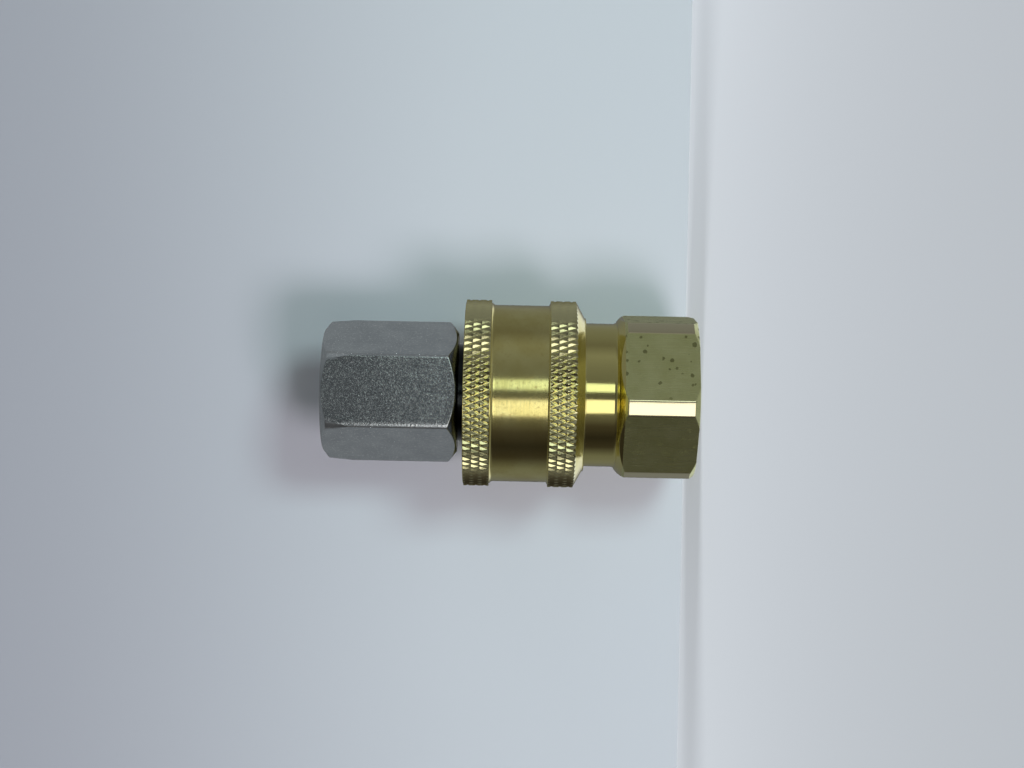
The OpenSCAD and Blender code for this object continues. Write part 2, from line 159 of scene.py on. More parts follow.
def patch(tree, angle, height, angles, heights, soft, crisp):
    """1 inside a soft-edged patch of the sky, in degrees round the axis and above the horizon."""
    edges = [smooth_step(tree, angle, angles[0] - soft, angles[0] + soft),
             smooth_step(tree, angle, angles[1] - soft, angles[1] + soft, 1, 0),
             smooth_step(tree, height, heights[0] - soft, heights[0] + soft),
             smooth_step(tree, height, heights[1] - crisp, heights[1] + crisp, 1, 0)]
    result = edges[0]
    for edge in edges[1:]:
        result = maths(tree, "MULTIPLY", result, edge)
    return result


PALE = linear("#cdd2d8")
# DUSK is painted shade on the stage, reached towards +Z between DUSK_FROM and DUSK_TO.
DUSK = linear("#b0b2bb")
DUSK_FROM = 20 * MM
DUSK_TO = 120 * MM
# Parts of the room, each in degrees round the axis and then degrees above the horizon.
UPPER_WINDOW = (5, 18), (-38, 1.4)
LOWER_WINDOW = (-29, -8), (-38, 2)
DARK_OVER_WINDOWS = (-30, 20), (2, 16)
world = bpy.data.worlds.new("studio")
bpy.context.scene.world = world
world.use_nodes = True
sky = world.node_tree
sky.nodes.clear()
direction = add(sky, "ShaderNodeSeparateXYZ",
                {"Vector": add(sky, "ShaderNodeTexCoord").outputs["Generated"]})
sky_x, sky_y, sky_z = direction.outputs
# Degrees round the axis, 0 at the camera's side and rising towards +X, and degrees above the horizon.
round_axis = maths(sky, "ARCTAN2", sky_x, maths(sky, "MULTIPLY", sky_y, -1))
sky_angle = maths(sky, "MULTIPLY", round_axis, 180 / math.pi)
sky_height = maths(sky, "MULTIPLY", maths(sky, "ARCSINE", sky_z), 180 / math.pi)


def grey(level, tint=(1, 1, 1)):
    """A linear grey of some level, tinted."""
    return (level * tint[0], level * tint[1], level * tint[2], 1)


COOL = (0.96, 1.0, 1.03)
WARM = (1.05, 0.92, 0.85)
room = ramp(sky, maths(sky, "DIVIDE", maths(sky, "ADD", sky_angle, 180), 360), [
    (0.00, grey(0.12, COOL)), (0.12, grey(0.19, COOL)), (0.18, grey(0.17, COOL)), (0.245, grey(0.04, WARM)),
    (0.30, grey(0.022, WARM)), (0.36, grey(0.05, WARM)), (0.42, grey(0.16)), (0.50, grey(0.10, COOL)),
    (0.57, grey(0.16, COOL)), (0.62, grey(0.19, COOL)), (0.68, grey(0.24, COOL)), (0.74, grey(0.14)),
    (0.80, grey(0.18, COOL)), (0.90, grey(0.21, COOL)), (1.00, grey(0.12, COOL))])
dark = patch(sky, sky_angle, sky_height, *DARK_OVER_WINDOWS, 3, 0.8)
upper_window = patch(sky, sky_angle, sky_height, *UPPER_WINDOW, 1.5, 0.6)
lower_window = patch(sky, sky_angle, sky_height, *LOWER_WINDOW, 1.5, 1.5)
room = mix(sky, dark, room, grey(0.045, COOL))
room = mix(sky, upper_window, room, (1.25, 1.42, 1.3, 1))
room = mix(sky, lower_window, room, (1.5, 1.46, 1.4, 1))
behind = maths(sky, "MULTIPLY", smooth_step(sky, maths(sky, "ABSOLUTE", sky_angle), 130, 155),
               smooth_step(sky, sky_height, -22, -10, 1, 0))
room = mix(sky, behind, room, grey(0.85, COOL))
above = smooth_step(sky, sky_height, 35, 80)
below = smooth_step(sky, sky_height, -35, -80)
room = mix(sky, above, room, grey(0.15, COOL))
room = mix(sky, below, room, grey(0.34, COOL))
sky_light = add(sky, "ShaderNodeBackground", {"Color": room, "Strength": 1.0})
sky_seen = add(sky, "ShaderNodeBackground", {"Color": PALE, "Strength": 1.0})
sky_mixed = add(sky, "ShaderNodeMixShader", {0: add(sky, "ShaderNodeLightPath").outputs["Is Camera Ray"],
                1: sky_light.outputs[0], 2: sky_seen.outputs[0]})
add(sky, "ShaderNodeOutputWorld", {"Surface": sky_mixed.outputs[0]})


def stage_card(name, corners, glow=0, facing_only=False):
    """A pale card, with painted shade that darkens it a little towards +Z. If facing_only it is clear from
    behind, and hides nothing.
    """
    mesh = bpy.data.meshes.new(name)
    mesh.from_pydata(corners, [], [range(len(corners))])
    card = bpy.data.objects.new(name, mesh)
    bpy.context.scene.collection.objects.link(card)
    material, tree = new_tree(name + "_paper")
    # Painted shade: the paper darkens from PALE to DUSK towards +Z.
    colour = mix(tree, smooth_step(tree, place_on(tree)["Z"], DUSK_FROM, DUSK_TO), PALE, DUSK)
    paper = add(tree, "ShaderNodeBsdfDiffuse", {"Color": colour})
    light = add(tree, "ShaderNodeEmission", {"Color": colour, "Strength": glow})
    look = add(tree, "ShaderNodeAddShader", {0: paper.outputs[0], 1: light.outputs[0]}).outputs[0]
    if facing_only:
        clear = add(tree, "ShaderNodeBsdfTransparent").outputs[0]
        back = add(tree, "ShaderNodeNewGeometry").outputs["Backfacing"]
        look = add(tree, "ShaderNodeMixShader", {0: back, 1: look, 2: clear}).outputs[0]
    add(tree, "ShaderNodeOutputMaterial", {"Surface": look})
    mesh.materials.append(material)
    card.visible_glossy = False
    card.visible_diffuse = False
    card.visible_shadow = False


STAGE_HALF = 2.0
CARD_BEHIND = 15.5 * MM
FLOOR_GLOW = 0.36
stage_card("floor", [(-STAGE_HALF, -STAGE_HALF, 0), (STAGE_HALF, -STAGE_HALF, 0),
           (STAGE_HALF, STAGE_HALF, 0), (-STAGE_HALF, STAGE_HALF, 0)], glow=FLOOR_GLOW)
stage_card("card", [(-STAGE_HALF, CARD_BEHIND, -STAGE_HALF), (STAGE_HALF, CARD_BEHIND, -STAGE_HALF),
           (STAGE_HALF, CARD_BEHIND, STAGE_HALF), (-STAGE_HALF, CARD_BEHIND, STAGE_HALF)],
           facing_only=True)


def lamp(name, place, size, power, colour):
    """A soft square lamp that faces the coupling's middle. The metals mirror the painted room instead."""
    data = bpy.data.lights.new(name, "AREA")
    data.size = size
    data.energy = power
    data.color = colour
    data.normalize = True
    lamp_object = bpy.data.objects.new(name, data)
    lamp_object.location = place
    aim = Vector((0, 0, VIEW_HEIGHT)) - Vector(place)
    lamp_object.rotation_euler = aim.to_track_quat("-Z", "Y").to_euler()
    lamp_object.visible_glossy = False
    bpy.context.scene.collection.objects.link(lamp_object)


# Above and below mean the sides of the turned picture, which are +X and -X.
lamp("lamp_above", (150 * MM, -400 * MM, -130 * MM), 120 * MM, 0.75, (0.76, 1.0, 0.98))
lamp("lamp_below", (-170 * MM, -400 * MM, -130 * MM), 140 * MM, 0.85, (1.0, 0.91, 1.0))
lamp("side_above", (400 * MM, 40 * MM, 90 * MM), 160 * MM, 2.3, (0.97, 1.0, 1.0))
lamp("side_below", (-400 * MM, 40 * MM, 90 * MM), 160 * MM, 1.8, (1.0, 1.0, 1.0))


# ---------------------------------------------------------------------------------------------------
# Socket body: one piece of brass hex bar, 24 mm across its flats, with its corners turned down, a
# polished neck and the barrel that the sleeve slides on. It is bored, grooved and tapped inside.
socket_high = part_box("socket_body")[1]
sleeve_low, sleeve_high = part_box("sleeve")
plug_low, plug_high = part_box("plug_body")

PORT_R = 5.72 * MM
PORT_DEPTH = 11 * MM
PORT_CHAMFER = 0.9 * MM
THREAD_PITCH = 1.337 * MM
THREAD_DEPTH = 0.856 * MM
THREAD_STEPS = 12
SOCKET_FLATS = 24 * MM
SOCKET_CORNER_R = 13.2 * MM
SOCKET_HEX_LEN = 12.2 * MM
SOCKET_TURN = math.radians(22.2 - 90)
NECK_R = 11.15 * MM
BARREL_R = 9.9 * MM
STEP_Z = sleeve_low.z + 2.7 * MM
KEEPER_LOW = 33.5 * MM
KEEPER_HIGH = 34.6 * MM
KEEPER_R = 9.2 * MM
BORE_R = 7.57 * MM
BORE_END = 22.6 * MM
SEAL_LOW = 24.3 * MM
SEAL_HIGH = 27.7 * MM
SEAL_R = 8.92 * MM
SOCKET_THROAT_R = 4 * MM
SOCKET_THROAT_LOW = 21.5 * MM
SOCKET_CHAMBER_R = 5.5 * MM
SOCKET_CHAMBER_TOP = 20 * MM
SNAP_LOW = 11.5 * MM
SNAP_HIGH = 12.3 * MM
SOCKET_SNAP_R = 6.05 * MM
BALL_Z = 31 * MM
BALL_HOLE_R = 1.8 * MM
BALL_COUNT = 8


def eased(outline, radius, steps=3):
    """An open outline of (radius, height) points with each corner eased over radius, in steps points. A
    point is held beside each eased corner, so that a long face between two corners shades flat."""
    points = [outline[0]]
    for before, corner, after in zip(outline, outline[1:], outline[2:]):
        before, corner, after = Vector(before), Vector(corner), Vector(after)
        back, on = before - corner, after - corner
        start = corner + back * min(0.3, radius / max(back.length, 1e-9))
        end = corner + on * min(0.3, radius / max(on.length, 1e-9))
        points.append(tuple(corner + (start - corner) * 1.5))
        for step in range(steps):
            t = step / (steps - 1)
            points.append(tuple(start.lerp(corner, t).lerp(corner.lerp(end, t), t)))
        points.append(tuple(corner + (end - corner) * 1.5))
    points.append(outline[-1])
    return points


def clipped(outline, limit):
    """A turned outline that rises to the bar's corners and falls again, cut down to limit where a flat is."""
    result = []
    for i, (r, z) in enumerate(outline):
        if r <= limit:
            result.append((r, z))
            continue
        inner = [outline[j] for j in (i - 1, i + 1) if 0 <= j < len(outline) and outline[j][0] < limit]
        if inner:
            t = (limit - inner[0][0]) / (r - inner[0][0])
            z = inner[0][1] + (z - inner[0][1]) * t
        result.append((limit, z))
    return result


def hex_reach(angle, flats, soft):
    """How far a hex bar reaches at an angle from the middle of a flat, with its corners softened."""
    a = (angle + math.pi / 6) % (math.pi / 3) - math.pi / 6
    near, far = math.cos(a), math.cos(math.pi / 3 - abs(a))
    blend = max(soft - (near - far), 0) / soft
    return flats / 2 / (near + blend * blend * soft / 4)


def soft_min(a, b, soft):
    """The smaller of two values, eased where they cross."""
    blend = max(soft - abs(a - b), 0) / soft
    return min(a, b) - blend * blend * soft / 4


def hex_angles(edge, spread):
    """Angles round a hex bar from the middle of a flat: every 2.5 degrees, and closer at its edges."""
    part = {a / 10 for a in range(-300, 300, 25)}
    part |= {side * edge + step for side in (-1, 1) for step in spread if abs(side * edge + step) < 30}
    return [math.radians(60 * flat + a) for flat in range(6) for a in sorted(part)]


def thread_outline(mouth, way, angle):
    """The wall of a tapped port from its mouth inwards, at one angle round it, as (radius, height) points."""
    turns = (PORT_DEPTH - 2 * PORT_CHAMFER) / THREAD_PITCH
    points = []
    for step in range(int(turns * THREAD_STEPS)):
        turn = step / THREAD_STEPS
        fade = min(1, turn / 0.7, (turns - turn) / 0.7)
        phase = (turn - way * angle / math.tau) % 1
        groove = min(1, max(0, 1.5 * abs(2 * phase - 1) - 0.2)) * fade
        points.append((PORT_R + THREAD_DEPTH * groove, mouth + way * (PORT_CHAMFER + turn * THREAD_PITCH)))
    return points


def solid_mesh(name, columns, closed):
    """A closed mesh from one outline for each angle round the axis. Each outline is a loop if closed, and
    otherwise runs from the axis to the axis."""
    mesh = bmesh.new()
    rings = [[mesh.verts.new((r * math.cos(a), r * math.sin(a), z)) for r, z in outline]
             for a, outline in columns]
    for here, there in zip(rings, rings[1:] + rings[:1]):
        for i in range(len(here) if closed else len(here) - 1):
            j = (i + 1) % len(here)
            mesh.faces.new((here[i], there[i], there[j], here[j]))
    bmesh.ops.remove_doubles(mesh, verts=mesh.verts, dist=2e-7)
    bmesh.ops.dissolve_degenerate(mesh, dist=1e-7, edges=mesh.edges)
    bmesh.ops.recalc_face_normals(mesh, faces=mesh.faces)
    data = bpy.data.meshes.new(name)
    mesh.to_mesh(data)
    mesh.free()
    return data


def piece(name, mesh, body, nodes, material, sharp=32):
    """Puts a finished mesh in the scene in place of CAD nodes, riding on a body, smooth but for its edges."""
    thing = bpy.data.objects.new(name, mesh)
    bpy.context.scene.collection.objects.link(thing)
    mesh.materials.clear()
    mesh.materials.append(material)
    mesh.shade_smooth()
    mesh.set_sharp_from_angle(angle=math.radians(sharp))
    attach(thing, body)
    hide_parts(*nodes)
    return thing


def surface(tree, colour, metallic, roughness, normal):
    """Ends a material with the Principled shader."""
    shader = add(tree, "ShaderNodeBsdfPrincipled",
                 {"Base Color": colour, "Metallic": metallic, "Roughness": roughness, "Normal": normal})
    add(tree, "ShaderNodeOutputMaterial", {"Surface": shader.outputs[0]})


def grain(tree, scale, detail=3, stretch=(1, 1, 1), roughness=0.5):
    """Noise over the piece, in grains each millimetre along X, Y and Z."""
    place = add(tree, "ShaderNodeTexCoord").outputs["Object"]
    scaled = add(tree, "ShaderNodeMapping", {"Vector": place, "Scale": [s * scale / MM for s in stretch]})
    links = {"Vector": scaled.outputs[0], "Scale": 1.0, "Detail": detail, "Roughness": roughness}
    return add(tree, "ShaderNodeTexNoise", links).outputs[0]


def bump(tree, height, distance, strength=1.0, under=None):
    """A fine relief, on top of another one if under is given."""
    links = {"Height": height, "Distance": distance, "Strength": strength}
    if under is not None:
        links["Normal"] = under
    return add(tree, "ShaderNodeBump", links).outputs[0]


def bar_brass():
    """Drawn brass bar, a little oxidised: matt with fine lines along it, and round tarnish spots, mostly on
    one side, where water stood. The turned neck and the hex's turned corners are bright."""
    material, tree = new_tree("drawn_and_turned_brass")
    place = add(tree, "ShaderNodeTexCoord").outputs["Object"]
    parts = add(tree, "ShaderNodeSeparateXYZ", {"Vector": place}).outputs
    lines = grain(tree, 9, 4, (1, 1, 0.02))
    clouds = grain(tree, 0.35, 4)
    # Round spots: cells about 1.2 mm apart, most of which hold a spot, in uneven sizes.
    wobble = add(tree, "ShaderNodeTexNoise", {"Vector": place, "Scale": 1.6 / MM, "Detail": 3.0})
    bent = add(tree, "ShaderNodeMix", {"Factor": 0.0004, "A": place, "B": wobble.outputs["Color"]},
               data_type="VECTOR").outputs["Result"]
    cells = add(tree, "ShaderNodeTexVoronoi", {"Vector": bent, "Scale": 0.85 / MM})
    size = add(tree, "ShaderNodeSeparateColor", {"Color": cells.outputs["Color"]})
    reach = smooth_step(tree, size.outputs[0], 0.35, 1.0, 0.0, 0.38)
    spots = smooth_step(tree, maths(tree, "SUBTRACT", reach, cells.outputs["Distance"]), 0.0, 0.06)
    along = smooth_step(tree, parts["Z"], SOCKET_HEX_LEN - 1.0 * MM, SOCKET_HEX_LEN - 0.9 * MM)
    out = from_axis(tree, parts)
    corner = smooth_step(tree, out, SOCKET_CORNER_R - 0.07 * MM, SOCKET_CORNER_R - 0.02 * MM)
    turned = maths(tree, "MAXIMUM", along, corner)
    bar = mix(tree, smooth_step(tree, clouds, 0.3, 0.7), linear("#e0e2a6"), linear("#d2d494"))
    bar = mix(tree, smooth_step(tree, lines, 0.35, 0.65, 0, 0.35), bar, linear("#bfbe84"))
    wet_side = smooth_step(tree, parts["X"], -3 * MM, 3 * MM, 0.25, 0.7)
    bar = mix(tree, maths(tree, "MULTIPLY", spots, wet_side), bar, linear("#6a6a3e"))
    turned_colour = mix(tree, corner, linear("#e9df93"), linear("#f4ecc4"))
    colour = mix(tree, turned, bar, turned_colour)
    rough_bar = smooth_step(tree, lines, 0.3, 0.7, 0.26, 0.40)
    rough_bar = maths(tree, "ADD", rough_bar, maths(tree, "MULTIPLY", spots, 0.18))
    rings = grain(tree, 14, 2, (0.03, 0.03, 1))
    rough_turned = smooth_step(tree, rings, 0.3, 0.7, 0.07, 0.12)
    rough = between_values(tree, turned, rough_bar, rough_turned)
    metallic = between_values(tree, turned, 0.96, 1.0)
    waves = grain(tree, 1.3, 3, (1, 1, 0.25))
    relief = bump(tree, lines, 0.004 * MM, 0.5, bump(tree, waves, 0.010 * MM, 0.35))
    surface(tree, colour, metallic, rough, relief)
    return material


def socket_column(angle):
    """The socket body's outline at one angle: hex, neck and barrel, then bore, chamber and tapped port."""
    reach = soft_min(hex_reach(angle - SOCKET_TURN, SOCKET_FLATS, 0.004), SOCKET_CORNER_R, 0.1 * MM)
    hex_part = clipped([(12.4 * MM, 0), (SOCKET_CORNER_R, 0.8 * MM), (SOCKET_CORNER_R, SOCKET_HEX_LEN / 2),
                        (SOCKET_CORNER_R, SOCKET_HEX_LEN - 1.34 * MM), (11.6 * MM, SOCKET_HEX_LEN)], reach)
    top = socket_high.z
    outside = eased([(PORT_R + PORT_CHAMFER, 0)] + hex_part + [
        (NECK_R + 0.5 * MM, SOCKET_HEX_LEN), (NECK_R + 0.15 * MM, SOCKET_HEX_LEN + 0.15 * MM),
        (NECK_R, SOCKET_HEX_LEN + 0.5 * MM), (NECK_R, STEP_Z - 0.3 * MM),
        (NECK_R - 0.3 * MM, STEP_Z), (BARREL_R, STEP_Z), (BARREL_R, KEEPER_LOW), (KEEPER_R, KEEPER_LOW),
        (KEEPER_R, KEEPER_HIGH), (BARREL_R, KEEPER_HIGH), (BARREL_R, top - 0.3 * MM),
        (BARREL_R - 0.3 * MM, top), (BORE_R + 0.8 * MM, top)], 0.1 * MM)
    inside = [(BORE_R, top - 0.8 * MM), (BORE_R, SEAL_HIGH), (SEAL_R, SEAL_HIGH), (SEAL_R, SEAL_LOW),
              (BORE_R, SEAL_LOW), (BORE_R, BORE_END), (SOCKET_THROAT_R, BORE_END),
              (SOCKET_THROAT_R, SOCKET_THROAT_LOW), (SOCKET_CHAMBER_R, SOCKET_CHAMBER_TOP),
              (SOCKET_CHAMBER_R, SNAP_HIGH), (SOCKET_SNAP_R, SNAP_HIGH), (SOCKET_SNAP_R, SNAP_LOW),
              (SOCKET_CHAMBER_R, SNAP_LOW), (SOCKET_CHAMBER_R, PORT_DEPTH), (PORT_R, PORT_DEPTH)]
    return outside + inside + thread_outline(0, 1, angle)[::-1]


def cut_radial_holes(mesh, count, radius, height, start, end):
    """Cuts round holes through a wall, each along its own radius."""
    cutter = bmesh.new()
    for i in range(count):
        middle = Vector(((start + end) / 2, 0, height))
        turn = Matrix.Rotation(math.tau * i / count, 4, "Z")
        place = turn @ Matrix.Translation(middle) @ Matrix.Rotation(math.pi / 2, 4, "Y")
        bmesh.ops.create_cone(cutter, cap_ends=True, segments=32, radius1=radius, radius2=radius,
                              depth=end - start, matrix=place)
    cutter_mesh = bpy.data.meshes.new("drill")
    cutter.to_mesh(cutter_mesh)
    cutter.free()
    whole = bpy.data.objects.new("work", mesh)
    drill = bpy.data.objects.new("drill", cutter_mesh)
    for thing in (whole, drill):
        bpy.context.scene.collection.objects.link(thing)
    cut = whole.modifiers.new("holes", "BOOLEAN")
    cut.operation = "DIFFERENCE"
    cut.object = drill
    cut.solver = "EXACT"
    graph = bpy.context.evaluated_depsgraph_get()
    result = bpy.data.meshes.new_from_object(whole.evaluated_get(graph), depsgraph=graph)
    for thing in (whole, drill):
        bpy.data.objects.remove(thing)
    return result


SOCKET_SPREAD = (-1.2, -0.7, -0.35, -0.12, 0.12, 0.35, 0.7, 1.2)
socket_angles = [a + SOCKET_TURN for a in hex_angles(24.62, SOCKET_SPREAD)]
socket_mesh = solid_mesh("socket_body_mesh", [(a, socket_column(a)) for a in socket_angles], True)
socket_mesh = cut_radial_holes(socket_mesh, BALL_COUNT, BALL_HOLE_R, BALL_Z, 6.5 * MM, 10.5 * MM)
piece("brass_socket_body", socket_mesh, "socket", ["socket_body"], bar_brass())


# ---------------------------------------------------------------------------------------------------
# Plug body: one piece of steel hex bar, 19 mm across its flats, zinc plated. A light taper takes the
# corners off towards its outer end, and its turned nose fills the socket's bore.
PLUG_FLATS = 19 * MM
PLUG_CORNER_R = PLUG_FLATS / 2 / math.cos(math.pi / 6)
PLUG_HEX_Z = plug_high.z - 20.8 * MM
NOSE_R = 7.5 * MM
BALL_R = 1.75 * MM
BALL_LOCK_R = 8.05 * MM
PLUG_THROAT_R = 3.9 * MM
PLUG_THROAT_TOP = 24 * MM
PLUG_CHAMBER_R = 5 * MM
PLUG_CHAMBER_LOW = 25.1 * MM
PLUG_SNAP_LOW = 34.95 * MM
PLUG_SNAP_HIGH = 35.75 * MM
PLUG_SNAP_R = 5.55 * MM
PLUG_FACE_R = 9.25 * MM
PLUG_FACE_SLOPE = math.tan(math.radians(39))
TAPER_LEN = 5.3 * MM
TAPER_DEPTH = 0.38 * MM
END_R = 9.35 * MM
END_SLOPE = 0.75


def zinc_plate():
    """Zinc plate on drawn steel bar: blue-grey, with fine lines along the bar and small bright specks where
    it is scuffed. Painted shade darkens the face towards the sleeve and makes the turned shank and nose dark."""
    material, tree = new_tree("zinc_plated_steel")
    lines = grain(tree, 7, 4, (1, 1, 0.03))
    specks = grain(tree, 4.2, 2, (1, 1, 0.8), 0.7)
    pits = grain(tree, 2.6, 3, (1, 1, 0.8), 0.6)
    clouds = grain(tree, 0.3, 3)
    colour = mix(tree, smooth_step(tree, clouds, 0.3, 0.7), linear("#ccd3d6"), linear("#bfc6ca"))
    colour = mix(tree, smooth_step(tree, lines, 0.4, 0.7, 0, 0.3), colour, linear("#d6dcdf"))
    colour = mix(tree, smooth_step(tree, specks, 0.58, 0.68, 0, 0.8), colour, linear("#f4f6f6"))
    rough = smooth_step(tree, pits, 0.35, 0.7, 0.09, 0.20)
    normal = add(tree, "ShaderNodeNewGeometry").outputs["Normal"]
    facing = add(tree, "ShaderNodeSeparateXYZ", {"Vector": normal}).outputs["Z"]
    height = place_on(tree)["Z"]
    # Painted shade: the face towards the sleeve, near the hex's inner end, is painted darker.
    inner_end_painted_shade = maths(tree, "MULTIPLY", smooth_step(tree, facing, -0.45, -0.3, 1, 0),
                      smooth_step(tree, height, PLUG_HEX_Z + 2 * MM, PLUG_HEX_Z + 3 * MM, 1, 0))
    # Painted shade: the shank and nose below the hex, seen in the gap under the sleeve, are painted near
    # black.
    shank = smooth_step(tree, height, PLUG_HEX_Z, PLUG_HEX_Z + 0.05 * MM, 1, 0)
    # turned covers both painted-shade areas, which also get a smooth, fully metallic finish.
    turned = maths(tree, "MAXIMUM", inner_end_painted_shade, shank)
    # The painted shade colours: grey on the inner face, near black on the shank and nose.
    colour = mix(tree, inner_end_painted_shade, colour, linear("#a9afb1"))
    colour = mix(tree, shank, colour, linear("#2c2f30"))
    rough = between_values(tree, turned, rough, 0.08)
    metallic = smooth_step(tree, turned, 0, 1, 0.95, 1)
    relief = bump(tree, lines, 0.003 * MM, 0.5, bump(tree, specks, 0.018 * MM, 0.9))
    surface(tree, colour, metallic, rough, relief)
    return material


def plug_column(angle):
    """The plug body's outline at one angle: nose, ball groove, shank and hex, then port and chamber."""
    reach = hex_reach(angle + math.pi / 2, PLUG_FLATS, 0.02)
    top = plug_high.z
    corner = PLUG_CORNER_R + 1 * MM
    taper_r = PLUG_CORNER_R - TAPER_DEPTH
    face_top = PLUG_HEX_Z + (corner - PLUG_FACE_R) * PLUG_FACE_SLOPE
    hex_part = clipped([(PLUG_FACE_R, PLUG_HEX_Z), (corner, face_top),
                        (corner, top - TAPER_LEN), (PLUG_CORNER_R, top - TAPER_LEN),
                        (taper_r, top - (taper_r - END_R) * END_SLOPE), (END_R, top)], reach)
    nose = [(PLUG_THROAT_R, plug_low.z), (NOSE_R - 0.5 * MM, plug_low.z), (NOSE_R, plug_low.z + 0.9 * MM)]
    outside = eased(nose + groove_outline() + [(NOSE_R, PLUG_HEX_Z)] + hex_part
                    + [(PORT_R + PORT_CHAMFER, top)], 0.12 * MM)
    inside = [(PLUG_CHAMBER_R, top - PORT_DEPTH), (PLUG_CHAMBER_R, PLUG_SNAP_HIGH),
              (PLUG_SNAP_R, PLUG_SNAP_HIGH), (PLUG_SNAP_R, PLUG_SNAP_LOW), (PLUG_CHAMBER_R, PLUG_SNAP_LOW),
              (PLUG_CHAMBER_R, PLUG_CHAMBER_LOW), (PLUG_THROAT_R, PLUG_THROAT_TOP)]
    return outside + thread_outline(top, -1, angle) + [(PORT_R, top - PORT_DEPTH)] + inside


def groove_outline():
    """The ball groove round the plug's nose: an arc a little larger than a ball."""
    r = BALL_R + 0.1 * MM
    half = math.acos((BALL_LOCK_R - NOSE_R) / r)
    steps = 8
    angles = [math.pi - half + 2 * half * i / steps for i in range(steps + 1)]
    return [(BALL_LOCK_R + r * math.cos(a), BALL_Z - r * math.sin(a)) for a in angles]


PLUG_SPREAD = (-1.8, -1.1, -0.6, -0.25)
plug_angles = [a - math.pi / 2 for a in hex_angles(30, PLUG_SPREAD)]
plug_mesh = solid_mesh("plug_body_mesh", [(a, plug_column(a)) for a in plug_angles], True)
piece("plated_plug_body", plug_mesh, "plug", ["plug_body"], zinc_plate())


# ---------------------------------------------------------------------------------------------------
# Sleeve: turned from brass bar, with two diamond-knurled bands that the fingers draw back, and a plain
# grip between them. Inside, its land holds the balls in, and the ramp beside it lets them out.
SLEEVE_R = sleeve_high.x
KNURL_TEETH = 84
KNURL_ROWS = 3
KNURL_DEPTH = 0.3 * MM
KNURL_FLOOR = 0.07
KNURL_FLAT = 0.74
KNURL_LEVELS = (0, KNURL_FLOOR, KNURL_FLOOR + 0.06, KNURL_FLAT - 0.06, KNURL_FLAT, 1)
KNURL_ACROSS = 2
KNURL_ROW = math.pi * SLEEVE_R / KNURL_TEETH / math.tan(math.radians(22.7))
BEVEL_LEN = 1.56 * MM
LIP_R = 11.6 * MM
BEVEL_SLOPE = BEVEL_LEN / (SLEEVE_R - LIP_R)
BAND_LEN = KNURL_ROWS * KNURL_ROW
REAR_BAND_Z = sleeve_low.z + BEVEL_LEN
FRONT_BAND_Z = sleeve_high.z - 0.12 * MM - BAND_LEN
GRIP_R = 13.75 * MM
GRIP_FILLET = 0.7 * MM
FILLET_STEPS = 6
CORE_R = SLEEVE_R - KNURL_DEPTH - 0.12 * MM
LAND_R = 10.05 * MM
SKIRT_R = 11.25 * MM
RECESS_R = 11.4 * MM
LAND_Z = 28 * MM
RAMP_LEN = 2.2 * MM
RAMP_SLOPE = math.tan(math.radians(22))
SHOULDER_Z = BALL_Z + 2.5 * MM
RIM_R = LIP_R + 0.35 * MM
RIM_LEN = 0.19 * MM


def knurl_height(share):
    """Height of the knurl at a share of the way from the middle of a groove to the middle of a point, as a
    share of its depth: a narrow floor, a straight flank and a small worn flat."""
    return min(max((share - KNURL_FLOOR) / (KNURL_FLAT - KNURL_FLOOR), 0), 1)


def knurl_strip(mesh, place, z, slope):
    """One tooth's width of a knurled band, from z up. Each facet runs from a groove, between two of its
    crossings, up to a point. Returns the vertices along the strip's lower and its upper edge."""
    corners = {}
    for row in range(KNURL_ROWS + 1):
        for half in range(3):
            corners[row, half] = (half / 2, z + row * KNURL_ROW, (row + half) % 2 == 0)
    edges = {0: {}, KNURL_ROWS: {}}

    def vertex(across, up, high):
        r = SLEEVE_R - KNURL_DEPTH * (1 - knurl_height(high))
        at_low = abs(up - z) < 1e-9
        made = mesh.verts.new(place(across, r, up - ((SLEEVE_R - r) * slope if at_low else 0)))
        for row, edge in ((0, at_low), (KNURL_ROWS, abs(up - z - BAND_LEN) < 1e-9)):
            if edge:
                edges[row][round(across, 6)] = made
        return made

    def facet(*names):
        point = next(corners[k] for k in names if corners[k][2])
        groove = [corners[k] for k in names if not corners[k][2]]
        if names.index(next(k for k in names if corners[k][2])) == 1:
            groove.reverse()
        rows = []
        for level in KNURL_LEVELS[:-1]:
            rows.append([vertex(*[level * point[k] + (1 - level) * (groove[0][k] * (1 - t) + groove[1][k] * t)
                                  for k in (0, 1)], level)
                         for t in (i / KNURL_ACROSS for i in range(KNURL_ACROSS + 1))])
        top = vertex(point[0], point[1], 1)
        for here, there in zip(rows, rows[1:]):
            for i in range(KNURL_ACROSS):
                mesh.faces.new((here[i], here[i + 1], there[i + 1], there[i]))
        for i in range(KNURL_ACROSS):
            mesh.faces.new((rows[-1][i], rows[-1][i + 1], top))

    for row in range(KNURL_ROWS):
        for half in range(2):
            a, b, c, d = (row, half), (row, half + 1), (row + 1, half + 1), (row + 1, half)
            for points in (((a, b, d), (b, c, d)) if (row + half) % 2 == 0 else ((a, b, c), (a, c, d))):
                facet(*points)
    return [[edges[row][k] for k in sorted(edges[row])] for row in (0, KNURL_ROWS)]


